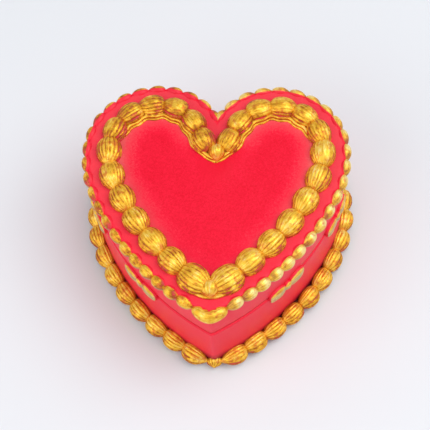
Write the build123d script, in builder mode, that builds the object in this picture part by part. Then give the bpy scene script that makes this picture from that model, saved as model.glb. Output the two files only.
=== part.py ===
import os
from math import acos, atan2, cos, degrees, pi, radians, sin, tan

from build123d import *

# Wind-up music box shaped as a heart cake: a hollow base that holds an 18-note movement, a trinket
# compartment over it, and a lift-off lid. Millimetres, +Z up, the tip of the heart towards -Y, the
# origin on the table under the middle of the box.

os.makedirs("parts", exist_ok=True)

# ------------------------------------------------------------------ heart plan
cleft_y = 37.78
cleft_angle = 63.5
inner_lobe_radius, inner_lobe_sweep = 28.6, 76.4
outer_lobe_radius, outer_lobe_sweep = 30.7, 73.3
shoulder_radius, shoulder_sweep = 48.0, 27.1
flank_radius = 118.0
tip_round = 1.2

# ------------------------------------------------------------------ box heights and walls
box_height = 56.6
seam_height = 33.5
seam_gap = 0.2
seam_round = 0.7
lid_wall = 4.0
lid_top = 4.0
neck_clearance = 0.3
neck_wall = 2.2
neck_rise = 5.0
deck_thickness = 2.2
lining_thickness = 1.0
lining_clearance = 0.3

# ------------------------------------------------------------------ bottom plate and its screws
recess_depth = 11.5
plate_thickness = 2.5
plate_clearance = 0.3
boss_radius = 3.5
boss_spots = [(-36.0, 33.0), (36.0, 33.0), (-13.0, -31.0), (13.0, -31.0)]
screw_radius = 1.3
screw_clearance = 0.2
screw_head_radius = 2.2
screw_head_height = 1.3
screw_bite = 6.0
screw_sides = 14
key_hole_radius = 4.0
screw_corner = 4.0
sound_slots, sound_slot_pitch = 2, 4.0
sound_slot_length, sound_slot_width = 13.0, 1.6
sound_slot_spot = (0.0, -26.5)

# ------------------------------------------------------------------ piped borders
top_inset = 9.7
top_width, top_rise = 12.4, 6.2
top_length = 14.5
top_flutes = 7
top_first, top_tip_gap = 12.0, 8.0
top_lobe_shells, top_lobe_pitch = 6, 10.4
top_flank_shells = 7
top_tip_growth = 1.1
cleft_knob_growth, cleft_knob_back = 0.72, 4.5
tip_knob_growth = 0.68

rim_inset_rise = 0.7
rim_drop = 3.4
rim_proud = 2.3
rim_overlap = 1.0
rim_beads = 23
rim_first, rim_tip_gap = 2.6, 9.3
rim_lap = 0.8
rim_tip_reach = 9.0

base_offset = 3.4
base_rise = 8.6
base_proud = 3.4
base_root = 5.0
base_clearance = 0.4
base_beads = 17
base_first, base_tip_gap = 2.6, 10.8
base_lap = 1.7
base_tip_back, base_tip_length = 2.4, 7.0

swags_per_side = 4
swag_first, swag_tip_gap = 21.6, 38.0
swag_bead_half, swag_bead_rise, swag_proud = 2.2, 2.1, 1.9
leaf_length, leaf_rise, leaf_step = 10.0, 2.7, 6.4

# ------------------------------------------------------------------ movement
movement_x, movement_y = -3.2, 1.0
bed_thickness = 2.2
bed_left, bed_right = -25.6, 32.0
bed_front, bed_back = -21.0, 21.5
bed_round = 3.0

cylinder_height = 10.4
cylinder_radius, cylinder_length = 6.4, 19.0
cylinder_left = 3.9
pin_radius, pin_height = 0.22, 0.8
pins_per_track = 3
shaft_radius = 1.0
running_clearance = 0.05
seat_clearance = 0.02
side_clearance = 0.4

comb_teeth, comb_pitch = 18, 1.0
comb_tooth_width, comb_tooth_thickness = 0.72, 0.8
comb_tip_clearance = 0.25
comb_tooth_length = 7.0
comb_heel_depth, comb_heel_thickness = 6.5, 2.0
comb_screw_inset = 3.5

bearing_thickness, bearing_width = 1.4, 7.0

arbor_x = -13.0
arbor_radius = 1.6
spring_core_radius = 2.6
housing_radius, housing_wall = 11.5, 0.9
spring_thickness, spring_turns = 0.5, 5
spring_sides = 16
spring_height = 7.5

crown_module = 0.65
crown_teeth, crown_pinion_teeth = 40, 8
crown_face = 2.2
crown_thickness = 1.4
crown_tooth_share = 0.36

train_module = 0.4
cylinder_gear_teeth, idler_pinion_teeth = 30, 10
gear_face = 1.4
idler_drop = 2.4
idler_radius = 0.6
idler_ear = 1.9
worm_wheel_teeth = 18
worm_root_radius = 1.0
worm_length = 7.0
addendum, dedendum = 0.85, 1.15
tooth_share = 0.42

fan_radius, fan_height, fan_thickness = 5.6, 4.4, 0.5
governor_radius = 0.6
bracket_thickness = 1.2
bracket_half_width = 3.2
bracket_arm_gap = 0.3
bracket_screw_setback = 3.4
fan_hub_radius = 1.3
fan_rise, fan_gap = 0.9, 0.2
pivot_gap = 0.3

key_height, key_span = 7.6, 23.0
key_thickness = 1.8
key_floor_gap = 1.6
key_eye_radius, key_eye_spread = 2.0, 7.4
key_hub_radius = 3.0
key_collar_height = 1.6

# ------------------------------------------------------------------ levels that follow from them
plate_top = recess_depth + plate_thickness
bed_top = plate_top + bed_thickness
axis_z = plate_top + cylinder_height
worm_middle = axis_z - idler_drop
fan_bottom = worm_middle + worm_length / 2 + fan_rise
arm_bottom = fan_bottom + fan_height + fan_gap
deck_height = arm_bottom + bracket_thickness + bracket_arm_gap
lid_bottom = seam_height + seam_gap / 2
base_top = seam_height - seam_gap / 2
neck_inset = lid_wall + neck_clearance
cavity_inset = neck_inset + neck_wall
neck_top = seam_height + neck_rise
compartment_floor = deck_height + deck_thickness


def half_arcs(grow):
    """The right half of the heart moved outward by grow, as clockwise arcs from cleft to tip."""
    sweeps = [
        (inner_lobe_radius, inner_lobe_sweep),
        (outer_lobe_radius, outer_lobe_sweep),
        (shoulder_radius, shoulder_sweep),
        (flank_radius, None),
    ]
    x, y, heading = 0.0, cleft_y, cleft_angle
    arcs = []
    for radius, sweep in sweeps:
        centre = (x + radius * sin(radians(heading)), y - radius * cos(radians(heading)))
        start = heading + 90
        if not arcs and radius + grow > centre[0]:
            start = min(start, degrees(acos(-centre[0] / (radius + grow))))
        if sweep is None:
            end = -degrees(acos(-centre[0] / (radius + grow)))
        else:
            end = heading + 90 - sweep
            heading -= sweep
            x = centre[0] - radius * sin(radians(heading))
            y = centre[1] + radius * cos(radians(heading))
        arcs.append((centre, radius + grow, start, end))
    return arcs


def heart_half(grow):
    """The same half as a line, led straight on to the middle where the arcs stop short of it."""
    arcs = half_arcs(grow)
    centre, radius, start, end = arcs[0]
    first_x = centre[0] + radius * cos(radians(start))
    first_y = centre[1] + radius * sin(radians(start))
    with BuildLine() as half:
        if first_x > 0.001:
            Line((0, first_y - first_x * tan(radians(start - 90))), (first_x, first_y))
        for centre, radius, start, end in arcs:
            CenterArc(centre, radius, start_angle=start, arc_size=end - start)
    return half.wire()


def heart(grow):
    """Heart-shaped face, the plan moved outward by grow (inward when negative)."""
    with BuildSketch() as plan:
        with BuildLine():
            add(heart_half(grow))
            mirror(about=Plane.YZ)
        make_face()
        if tip_round + grow > 0:
            fillet(plan.vertices().sort_by(Axis.Y)[0], tip_round + grow)
    return plan.sketch


def stations(grow, distances, height):
    """Places along the right half at these distances from the cleft: X to the tip, Y outward."""
    path = heart_half(grow)
    places = []
    for distance in distances:
        spot = path.position_at(distance, position_mode=PositionMode.LENGTH)
        way = path.tangent_at(distance, position_mode=PositionMode.LENGTH)
        places.append(Plane(origin=(spot.X, spot.Y, height), x_dir=way, z_dir=(0, 0, 1)).location)
    return places


def fluted(flutes, half_width, rise, depth=0.13):
    """Half-round outline standing on the Y axis, its ridges rise and width apart by valleys."""
    outline = []
    for step in range(2 * flutes + 1):
        angle = pi * step / (2 * flutes)
        reach = 1.0 if step % 2 else 1.0 - depth
        outline.append((half_width * reach * cos(angle), rise * reach * sin(angle)))
    return outline


def piped(outline, sections):
    """A piped shell along +X: flat facets join the outline as scaled at each (x, size) section."""
    rings = [[(x, y * size, z * size) for y, z in outline] for x, size in sections]
    facets = [Face(Wire.make_polygon(ring)) for ring in (rings[0], rings[-1])]
    for near, far in zip(rings, rings[1:]):
        for corners in zip(near, near[1:] + near[:1], far[1:] + far[:1], far):
            facets.append(Face(Wire.make_polygon(corners)))
    return Solid(Shell(facets))


def gear_outline(teeth, module, share=tooth_share, turn=0.0):
    """Corners of a spur gear with straight-flanked teeth; one tooth is centred at the turn angle."""
    pitch_radius = teeth * module / 2
    tip_radius = pitch_radius + addendum * module
    root_radius = pitch_radius - dedendum * module
    corners = []
    for tooth in range(teeth):
        middle = turn + 360 / teeth * tooth
        for radius, half in (
            (root_radius, -share * 0.75),
            (tip_radius, -share * 0.32),
            (tip_radius, share * 0.32),
            (root_radius, share * 0.75),
        ):
            angle = radians(middle + half * 360 / teeth)
            corners.append((radius * cos(angle), radius * sin(angle)))
    return corners


# ================================================================== base
# Cast base: outer wall, the deck over the movement, the neck that locates the lid, four bosses.
with BuildPart() as base_shell:
    with BuildSketch():
        add(heart(0))
    extrude(amount=base_top)
    split(bisect_by=Plane.YZ, keep=Keep.TOP)
    chamfer(base_shell.faces().sort_by(Axis.Z)[-1].edges().filter_by(GeomType.CIRCLE), seam_round)
    mirror(about=Plane.YZ)
    with BuildSketch(Plane.XY.offset(base_top)):
        add(heart(-neck_inset))
    extrude(amount=neck_top - base_top)
    with BuildSketch():
        add(heart(-cavity_inset))
    extrude(amount=deck_height, mode=Mode.SUBTRACT)
    with BuildSketch(Plane.XY.offset(compartment_floor)):
        add(heart(-cavity_inset))
    extrude(amount=neck_top - compartment_floor, mode=Mode.SUBTRACT)
    with BuildSketch(Plane.XY.offset(plate_top)):
        with Locations(*boss_spots):
            Circle(boss_radius)
    extrude(amount=deck_height - plate_top)
    with BuildSketch(Plane.XY.offset(plate_top)):
        with Locations(*boss_spots):
            Circle(screw_radius)
    extrude(amount=screw_bite, mode=Mode.SUBTRACT)
base_shell.part.label = "base_shell"
export_step(base_shell.part, "parts/base_shell.step")

# Felt laid on the compartment floor.
with BuildPart() as compartment_lining:
    with BuildSketch(Plane.XY.offset(compartment_floor)):
        add(heart(-cavity_inset - lining_clearance))
    extrude(amount=lining_thickness)
compartment_lining.part.label = "compartment_lining"
export_step(compartment_lining.part, "parts/compartment_lining.step")

# Lower border: fluted shells along the foot of the wall, tails towards the tip.
base_outline = [
    (-base_root, 0.0), (-base_root, 0.9 * base_rise), (-0.75 * base_proud, base_rise),
    (-0.45 * base_proud, 0.86 * base_rise), (0.05 * base_proud, 0.92 * base_rise),
    (0.25 * base_proud, 0.72 * base_rise), (0.7 * base_proud, 0.7 * base_rise),
    (0.72 * base_proud, 0.48 * base_rise), (base_proud, 0.36 * base_rise),
    (0.85 * base_proud, 0.16 * base_rise), (0.8 * base_proud, 0.0),
]
base_reach = heart_half(base_offset).length
base_pitch = (base_reach - base_first - base_tip_gap) / (base_beads - 1)
base_length = base_pitch + base_lap
base_bead = piped(
    base_outline,
    [(-0.5 * base_length, 0.5), (-0.2 * base_length, 1.0), (0.5 * base_length, 0.45)],
)
base_tip_bead = piped(base_outline, [(-base_tip_length / 2, 0.4), (0, 0.8), (base_tip_length / 2, 0.6)])
with BuildPart() as base_border:
    base_spots = [base_first + base_pitch * bead for bead in range(base_beads)]
    with Locations(*stations(base_offset, base_spots, base_clearance)):
        add(base_bead)
    with Locations(*stations(base_offset, [base_reach - base_tip_back], base_clearance)):
        add(base_tip_bead)
    split(bisect_by=Plane.YZ, keep=Keep.TOP)
    mirror(about=Plane.YZ)
    with BuildSketch():
        add(heart(0))
    extrude(amount=box_height, mode=Mode.SUBTRACT)
base_border.part.label = "base_border"
export_step(base_border.part, "parts/base_border.step")

# ================================================================== lid
# Cast lid: a deep heart-shaped cap, open below, that drops over the neck.
with BuildPart() as lid_shell:
    with BuildSketch(Plane.XY.offset(lid_bottom)):
        add(heart(0))
    extrude(amount=box_height - lid_bottom)
    split(bisect_by=Plane.YZ, keep=Keep.TOP)
    chamfer(lid_shell.faces().sort_by(Axis.Z)[0].edges().filter_by(GeomType.CIRCLE), seam_round)
    mirror(about=Plane.YZ)
    with BuildSketch(Plane.XY.offset(lid_bottom)):
        add(heart(-lid_wall))
    extrude(amount=box_height - lid_top - lid_bottom, mode=Mode.SUBTRACT)
lid_shell.part.label = "lid_shell"
export_step(lid_shell.part, "parts/lid_shell.step")

# Upper border: fluted shells piped from the cleft round each lobe to the tip, on the lid's top.
top_outline = fluted(top_flutes, top_width / 2, top_rise)
top_shell = piped(
    top_outline,
    [
        (-0.42 * top_length, 0.52), (-0.2 * top_length, 0.96),
        (0.12 * top_length, 0.97), (0.58 * top_length, 0.4),
    ],
)
lobe_spots = [top_first + top_lobe_pitch * shell for shell in range(top_lobe_shells)]
flank_first = lobe_spots[-1] + top_lobe_pitch
flank_reach = heart_half(-top_inset).length - top_tip_gap - flank_first
flank_pitch = flank_reach / (top_flank_shells - 1)
flank_spots = [flank_first + flank_pitch * shell for shell in range(top_flank_shells)]
knob = piped(top_outline, [(-0.36 * top_length, 0.5), (0, 1.0), (0.36 * top_length, 0.5)])
tip_shell = scale(top_shell, by=top_tip_growth)
cleft_knob = scale(knob, by=cleft_knob_growth)
tip_knob = scale(knob, by=tip_knob_growth)
with BuildPart() as lid_top_border:
    with Locations(*stations(-top_inset, lobe_spots + flank_spots[:-1], box_height)):
        add(top_shell)
    with Locations(*stations(-top_inset, flank_spots[-1:], box_height)):
        add(tip_shell)
    mirror(about=Plane.YZ)
    top_path = heart_half(-top_inset)
    cleft_knob_y = top_path.position_at(0).Y + cleft_knob_back
    with Locations(Location((0, cleft_knob_y, box_height), (0, 0, -90))):
        add(cleft_knob)
    with Locations(Location((0, top_path.position_at(1).Y, box_height), (0, 0, -90))):
        add(tip_knob)
lid_top_border.part.label = "lid_top_border"
export_step(lid_top_border.part, "parts/lid_top_border.step")

# Rim border: small plain beads along the lid's upper edge, joined into one piece at the tip.
rim_outline = [
    (-rim_overlap, rim_inset_rise), (0.45 * rim_proud, rim_inset_rise), (rim_proud, -0.25 * rim_drop),
    (0.8 * rim_proud, -0.7 * rim_drop), (0.0, -rim_drop), (-rim_overlap, -rim_drop),
]
rim_reach = heart_half(0).length
rim_pitch = (rim_reach - rim_first - rim_tip_gap) / (rim_beads - 1)
rim_length = rim_pitch + rim_lap
rim_bead = piped(rim_outline, [(-rim_length / 2, 0.4), (0, 1.0), (rim_length / 2, 0.4)])
rim_tip_bead = piped(rim_outline, [(-rim_length / 2, 0.4), (0, 1.1), (rim_tip_reach, 1.15)])
with BuildPart() as lid_rim_border:
    rim_spots = [rim_first + rim_pitch * bead for bead in range(rim_beads)]
    with Locations(*stations(0, rim_spots, box_height)):
        add(rim_bead)
    with Locations(*stations(0, [rim_reach - 0.8 * rim_tip_reach], box_height)):
        add(rim_tip_bead)
    split(bisect_by=Plane.YZ, keep=Keep.TOP)
    mirror(about=Plane.YZ)
    with BuildSketch():
        add(heart(0))
    extrude(amount=box_height, mode=Mode.SUBTRACT)
lid_rim_border.part.label = "lid_rim_border"
export_step(lid_rim_border.part, "parts/lid_rim_border.step")

# Swags: leaf, bead and leaf across the seam, the upper halves on the lid, the lower on the base.
swag_section = [(-swag_proud, 0.0), (-swag_proud, 1.0), (0.3 * swag_proud, 0.9), (swag_proud, 0.0)]


def swag_half(side):
    """Upper (side 1) or lower (side -1) half of one swag piece outline, its height scaled by rise."""
    return [(y, side * z) for y, z in swag_section]


def swag_pieces(side, rise_share, length):
    outline = [(y, rise_share * z) for y, z in swag_half(side)]
    half = length / 2
    return piped(outline, [(-half, 0.4), (-0.5 * half, 1.0), (0.5 * half, 1.0), (half, 0.4)])


def add_swags(side):
    """Add every swag's halves on this side of the seam to the part under way."""
    level = seam_height + side * seam_gap / 2
    swag_bead = swag_pieces(side, swag_bead_rise, 2 * swag_bead_half)
    swag_leaf = swag_pieces(side, leaf_rise, leaf_length)
    swag_pitch = (rim_reach - swag_first - swag_tip_gap) / (swags_per_side - 1)
    swag_spots = [swag_first + swag_pitch * swag for swag in range(swags_per_side)]
    leaf_spots = [spot + end * leaf_step for spot in swag_spots for end in (-1, 1)]
    beads = [swag_bead.moved(place) for place in stations(0, swag_spots, level)]
    leaves = [swag_leaf.moved(place) for place in stations(0, leaf_spots, level)]
    return beads + leaves


for swag_name, side in (("lid_swags", 1), ("base_swags", -1)):
    halves = add_swags(side)
    with BuildPart() as swags:
        add(halves)
        mirror(about=Plane.YZ)
        with BuildSketch():
            add(heart(0))
        extrude(amount=box_height, mode=Mode.SUBTRACT)
    swags.part.label = swag_name
    export_step(swags.part, f"parts/{swag_name}.step")

# ================================================================== bottom plate and fasteners
arbor_spot = (movement_x + arbor_x, movement_y)
movement_screw_spots = [
    (movement_x + bed_left + screw_corner, movement_y + bed_front + screw_corner),
    (movement_x + bed_left + screw_corner, movement_y + bed_back - screw_corner),
    (movement_x + bed_right - screw_corner, movement_y + bed_front + screw_corner),
]

# Moulded plate that closes the movement in from below, recessed so that the key clears the table.
with BuildPart() as bottom_plate:
    with BuildSketch(Plane.XY.offset(recess_depth)):
        add(heart(-cavity_inset - plate_clearance))
        with Locations(*boss_spots, *movement_screw_spots):
            Circle(screw_radius + screw_clearance, mode=Mode.SUBTRACT)
        with Locations(arbor_spot):
            Circle(key_hole_radius, mode=Mode.SUBTRACT)
        with Locations(sound_slot_spot):
            with GridLocations(0, sound_slot_pitch, 1, sound_slots):
                SlotOverall(sound_slot_length, sound_slot_width, mode=Mode.SUBTRACT)
    extrude(amount=plate_thickness)
bottom_plate.part.label = "bottom_plate"
export_step(bottom_plate.part, "parts/bottom_plate.step")


def pan_screw(shank_length):
    """Plain screw, rounded to flats, with its head's seat at the origin and its shank along +Z."""
    with BuildPart() as screw:
        with BuildSketch():
            RegularPolygon(screw_head_radius, screw_sides)
        extrude(amount=-screw_head_height)
        with BuildSketch():
            RegularPolygon(screw_radius, screw_sides)
        extrude(amount=shank_length)
    return screw.part


# Four screws hold the bottom plate to the bosses of the base.
plate_screw = pan_screw(plate_thickness + screw_bite - screw_clearance)
with BuildPart() as bottom_plate_screws:
    with Locations(*[(x, y, recess_depth) for x, y in boss_spots]):
        add(plate_screw)
bottom_plate_screws.part.label = "bottom_plate_screws"
export_step(bottom_plate_screws.part, "parts/bottom_plate_screws.step")

# Three screws hold the movement's bed down on the bottom plate.
movement_screw = pan_screw(plate_thickness + bed_thickness - screw_clearance)
with BuildPart() as movement_screws:
    with Locations(*[(x, y, recess_depth) for x, y in movement_screw_spots]):
        add(movement_screw)
movement_screws.part.label = "movement_screws"
export_step(movement_screws.part, "parts/movement_screws.step")


# ================================================================== movement: bed and comb
def across(x, y=0.0, z=0.0):
    """Plane square to the cylinder's axis, at a place given from where the axis meets x = 0."""
    origin = (movement_x + x, movement_y + y, axis_z + z)
    return Plane(origin=origin, x_dir=(0, 1, 0), z_dir=(1, 0, 0))


def upright(x, y, z):
    """Plane square to the winding arbor, at a place given from the movement's own zero."""
    return Plane(origin=(movement_x + x, movement_y + y, z))


left_bearing = arbor_x + crown_module * crown_teeth / 2 + crown_face / 2 + side_clearance * 2
right_bearing = cylinder_left + cylinder_length + side_clearance * 1.5
train_distance = train_module * (cylinder_gear_teeth + idler_pinion_teeth) / 2
idler_y = (train_distance**2 - idler_drop**2) ** 0.5
gear_left = right_bearing + bearing_thickness + side_clearance
worm_wheel_left = gear_left + gear_face + 2 * side_clearance
worm_x = worm_wheel_left + gear_face / 2
worm_wheel_radius = train_module * worm_wheel_teeth / 2
worm_y = idler_y + worm_wheel_radius + addendum * train_module + worm_root_radius + running_clearance
comb_left = cylinder_left + (cylinder_length - comb_teeth * comb_pitch) / 2
comb_width = comb_teeth * comb_pitch
comb_tip = -(cylinder_radius + pin_height + comb_tip_clearance)
comb_root = comb_tip - comb_tooth_length
comb_back = comb_root - comb_heel_depth
comb_bottom = axis_z - comb_tooth_thickness / 2
comb_screw_y = comb_root - comb_heel_depth / 2
comb_screw_xs = [comb_left + comb_screw_inset, comb_left + comb_width - comb_screw_inset]
bracket_ear_left = worm_wheel_left + gear_face + 2 * side_clearance
bracket_screw_spot = (worm_x, worm_y + bracket_screw_setback)

# Cast bed: plate, raised table for the comb and the two bearing plates of the cylinder.
with BuildPart() as bedplate:
    with BuildSketch(upright((bed_left + bed_right) / 2, (bed_front + bed_back) / 2, plate_top)):
        RectangleRounded(bed_right - bed_left, bed_back - bed_front, bed_round)
    extrude(amount=bed_thickness)
    with BuildSketch(upright(comb_left + comb_width / 2, comb_screw_y, bed_top)):
        Rectangle(comb_width, comb_heel_depth)
    extrude(amount=comb_bottom - bed_top)
    with BuildSketch(across(left_bearing)):
        with Locations((0, (bed_top - axis_z) / 2)):
            Rectangle(bearing_width, axis_z - bed_top)
        Circle(bearing_width / 2)
        Circle(shaft_radius + running_clearance, mode=Mode.SUBTRACT)
    extrude(amount=bearing_thickness)
    with BuildSketch(across(right_bearing)):
        with Locations((0, (bed_top - axis_z) / 2)):
            Rectangle(bearing_width, axis_z - bed_top)
        Circle(bearing_width / 2)
        with Locations((idler_y / 2, (bed_top - axis_z - idler_drop + idler_ear) / 2)):
            Rectangle(idler_y + 2 * idler_ear, axis_z - idler_drop + idler_ear - bed_top)
        Circle(shaft_radius + running_clearance, mode=Mode.SUBTRACT)
        with Locations((idler_y, -idler_drop)):
            Circle(idler_radius + running_clearance, mode=Mode.SUBTRACT)
    extrude(amount=bearing_thickness)
    with BuildSketch(Plane.XY.offset(plate_top)):
        with Locations(*movement_screw_spots):
            Circle(screw_radius + seat_clearance)
        with Locations(arbor_spot):
            Circle(arbor_radius + running_clearance)
        with Locations((movement_x + bracket_screw_spot[0], movement_y + bracket_screw_spot[1])):
            Circle(screw_radius + seat_clearance)
    extrude(amount=bed_thickness, mode=Mode.SUBTRACT)
    with BuildSketch(Plane.XY.offset(comb_bottom)):
        with Locations(*[(movement_x + x, movement_y + comb_screw_y) for x in comb_screw_xs]):
            Circle(screw_radius + seat_clearance)
    extrude(amount=-screw_bite, mode=Mode.SUBTRACT)
bedplate.part.label = "bedplate"
export_step(bedplate.part, "parts/bedplate.step")

# Steel comb: a thick heel with eighteen thin teeth, their tips just clear of the pins.
with BuildPart() as comb:
    with BuildSketch(upright(comb_left + comb_width / 2, comb_screw_y, comb_bottom)):
        Rectangle(comb_width, comb_heel_depth)
        with Locations(*[(x - comb_left - comb_width / 2, 0) for x in comb_screw_xs]):
            Circle(screw_radius + screw_clearance, mode=Mode.SUBTRACT)
    extrude(amount=comb_heel_thickness)
    with BuildSketch(upright(comb_left + comb_width / 2, (comb_tip + comb_root) / 2, comb_bottom)):
        with GridLocations(comb_pitch, 0, comb_teeth, 1):
            Rectangle(comb_tooth_width, comb_tooth_length)
    extrude(amount=comb_tooth_thickness)
comb.part.label = "comb"
export_step(comb.part, "parts/comb.step")

# Two screws through the comb's heel into its table.
comb_screw = pan_screw(comb_heel_thickness + screw_bite - screw_clearance)
with BuildPart() as comb_screws:
    with Locations(
        *[
            Plane(
                origin=(movement_x + x, movement_y + comb_screw_y, comb_bottom + comb_heel_thickness),
                z_dir=(0, 0, -1),
            ).location
            for x in comb_screw_xs
        ]
    ):
        add(comb_screw)
comb_screws.part.label = "comb_screws"
export_step(comb_screws.part, "parts/comb_screws.step")

# ================================================================== movement: winding and mainspring
crown_pitch_z = axis_z + crown_module * crown_pinion_teeth / 2
crown_bottom = crown_pitch_z + dedendum * crown_module
crown_tooth_height = (addendum + dedendum) * crown_module
housing_top = crown_bottom - 2 * side_clearance
spring_bottom = bed_top + side_clearance
key_top = recess_depth - side_clearance
arbor_bottom = key_floor_gap + key_height / 2

# Drawn cup that holds the mainspring, standing on the bed.
with BuildPart() as spring_housing:
    with BuildSketch(upright(arbor_x, 0, bed_top)):
        Circle(housing_radius)
    extrude(amount=housing_top - bed_top)
    with BuildSketch(upright(arbor_x, 0, bed_top)):
        Circle(housing_radius - housing_wall)
    extrude(amount=housing_top - bed_top - housing_wall, mode=Mode.SUBTRACT)
    with BuildSketch(upright(arbor_x, 0, bed_top)):
        Circle(arbor_radius + running_clearance)
    extrude(amount=housing_top - bed_top, mode=Mode.SUBTRACT)
spring_housing.part.label = "spring_housing"
export_step(spring_housing.part, "parts/spring_housing.step")

# Mainspring: a flat steel strip coiled from the arbor's core out to the cup's wall.
spring_inner = spring_core_radius + side_clearance + spring_thickness / 2
spring_outer = housing_radius - housing_wall - 2 * running_clearance - spring_thickness / 2
spring_steps = spring_turns * spring_sides
with BuildPart() as mainspring:
    with BuildSketch(upright(arbor_x, 0, spring_bottom)):
        strip = []
        for edge, steps in ((0.5, range(spring_steps + 1)), (-0.5, range(spring_steps, -1, -1))):
            for step in steps:
                reach = spring_inner + (spring_outer - spring_inner) * step / spring_steps
                reach += edge * spring_thickness
                turn = 2 * pi * step / spring_sides
                strip.append((reach * cos(turn), reach * sin(turn)))
        Polygon(*strip, align=None)
    extrude(amount=spring_height)
mainspring.part.label = "mainspring"
export_step(mainspring.part, "parts/mainspring.step")

# Winding arbor: key end, bearing in the bed, spring core, bearing in the cup, crown seat, rivet.
with BuildPart() as winding_arbor:
    with BuildSketch(Plane(origin=(*arbor_spot, 0), x_dir=(1, 0, 0), z_dir=(0, -1, 0))):
        with BuildLine():
            Polyline(
                (0, arbor_bottom),
                (arbor_radius, arbor_bottom),
                (arbor_radius, spring_bottom),
                (spring_core_radius, spring_bottom),
                (spring_core_radius, housing_top - housing_wall - side_clearance),
                (arbor_radius, housing_top - housing_wall - side_clearance),
                (arbor_radius, housing_top + side_clearance / 2),
                (spring_core_radius, housing_top + side_clearance / 2),
                (spring_core_radius, crown_bottom),
                (arbor_radius, crown_bottom),
                (arbor_radius, crown_bottom + crown_thickness),
                (spring_core_radius, crown_bottom + crown_thickness),
                (spring_core_radius, crown_bottom + crown_thickness + side_clearance),
                (0, crown_bottom + crown_thickness + side_clearance),
                close=True,
            )
        make_face()
    revolve(axis=Axis((*arbor_spot, 0), (0, 0, 1)))
winding_arbor.part.label = "winding_arbor"
export_step(winding_arbor.part, "parts/winding_arbor.step")

# Crown wheel: a disc with its teeth hanging from the rim, meshing with the cylinder's pinion.
crown_radius = crown_module * crown_teeth / 2
with BuildPart() as crown_wheel:
    with BuildSketch(upright(arbor_x, 0, crown_bottom)):
        Circle(crown_radius + crown_face / 2)
        Circle(arbor_radius + seat_clearance, mode=Mode.SUBTRACT)
    extrude(amount=crown_thickness)
    crown_pitch = pi * crown_module
    with BuildSketch(across(arbor_x + crown_radius - crown_face / 2, 0, crown_bottom - axis_z)):
        Polygon(
            (-0.62 * crown_tooth_share * crown_pitch, 0),
            (0.62 * crown_tooth_share * crown_pitch, 0),
            (0.3 * crown_tooth_share * crown_pitch, -crown_tooth_height),
            (-0.3 * crown_tooth_share * crown_pitch, -crown_tooth_height),
            align=None,
        )
    crown_tooth = extrude(amount=crown_face, mode=Mode.PRIVATE)
    with Locations(Location((0, 0, 0))):
        add([crown_tooth.rotate(Axis((*arbor_spot, 0), (0, 0, 1)), 360 / crown_teeth * tooth)
             for tooth in range(crown_teeth)])
crown_wheel.part.label = "crown_wheel"
export_step(crown_wheel.part, "parts/crown_wheel.step")

# Winding key under the plate: a hub with two pierced wings.
with BuildPart() as winding_key:
    key_plane = Plane(origin=(*arbor_spot, key_floor_gap + key_height / 2), x_dir=(1, 0, 0), z_dir=(0, -1, 0))
    with BuildSketch(key_plane):
        SlotOverall(key_span, key_height)
        with Locations((-key_eye_spread, 0), (key_eye_spread, 0)):
            Circle(key_eye_radius, mode=Mode.SUBTRACT)
    extrude(amount=key_thickness / 2, both=True)
    with BuildSketch(Plane(origin=(*arbor_spot, key_floor_gap + key_height * 0.2))):
        Circle(key_hub_radius)
    extrude(amount=key_top - key_floor_gap - key_height * 0.2)
    with BuildSketch(Plane(origin=(*arbor_spot, arbor_bottom))):
        Circle(arbor_radius + seat_clearance)
    extrude(amount=key_top - arbor_bottom, mode=Mode.SUBTRACT)
winding_key.part.label = "winding_key"
export_step(winding_key.part, "parts/winding_key.step")

# ================================================================== movement: cylinder
pinion_left = arbor_x + crown_radius - crown_face / 2
train_angle = degrees(atan2(-idler_drop, idler_y))

# Pinned cylinder: a brass barrel filled solid, with a track of pins for each comb tooth.
with BuildPart() as cylinder:
    with BuildSketch(across(cylinder_left)):
        Circle(cylinder_radius)
        Circle(shaft_radius + seat_clearance, mode=Mode.SUBTRACT)
    extrude(amount=cylinder_length)
    pin_places = []
    for track in range(comb_teeth):
        for pin in range(pins_per_track):
            turn = 137.5 * track + 360 / pins_per_track * (pin + 0.3 * sin(track + 2 * pin))
            x = comb_left + comb_pitch * (track + 0.5)
            pin_places.append(across(x).location * Location((0, 0, 0), (0, 0, turn)))
    with Locations(*pin_places):
        Box(cylinder_radius + pin_height, 2 * pin_radius, 2 * pin_radius,
            align=(Align.MIN, Align.CENTER, Align.CENTER))
    with BuildSketch(across(cylinder_left)):
        Circle(shaft_radius + seat_clearance)
    extrude(amount=cylinder_length, mode=Mode.SUBTRACT)
cylinder.part.label = "cylinder"
export_step(cylinder.part, "parts/cylinder.step")

# Shaft through the cylinder, both bearings, the pinion and the gear.
with BuildPart() as cylinder_shaft:
    with BuildSketch(across(pinion_left)):
        Circle(shaft_radius)
    extrude(amount=gear_left + gear_face + side_clearance / 2 - pinion_left)
cylinder_shaft.part.label = "cylinder_shaft"
export_step(cylinder_shaft.part, "parts/cylinder_shaft.step")

# Pinion on the winding side, driven by the crown wheel.
with BuildPart() as cylinder_pinion:
    with BuildSketch(across(pinion_left)):
        Polygon(*gear_outline(crown_pinion_teeth, crown_module, turn=90 + 180 / crown_pinion_teeth),
                align=None)
        Circle(shaft_radius + seat_clearance, mode=Mode.SUBTRACT)
    extrude(amount=crown_face)
cylinder_pinion.part.label = "cylinder_pinion"
export_step(cylinder_pinion.part, "parts/cylinder_pinion.step")

# Gear on the far side, driving the governor's train.
with BuildPart() as cylinder_gear:
    with BuildSketch(across(gear_left)):
        Polygon(*gear_outline(cylinder_gear_teeth, train_module, turn=train_angle), align=None)
        Circle(shaft_radius + seat_clearance, mode=Mode.SUBTRACT)
    extrude(amount=gear_face)
cylinder_gear.part.label = "cylinder_gear"
export_step(cylinder_gear.part, "parts/cylinder_gear.step")

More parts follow.
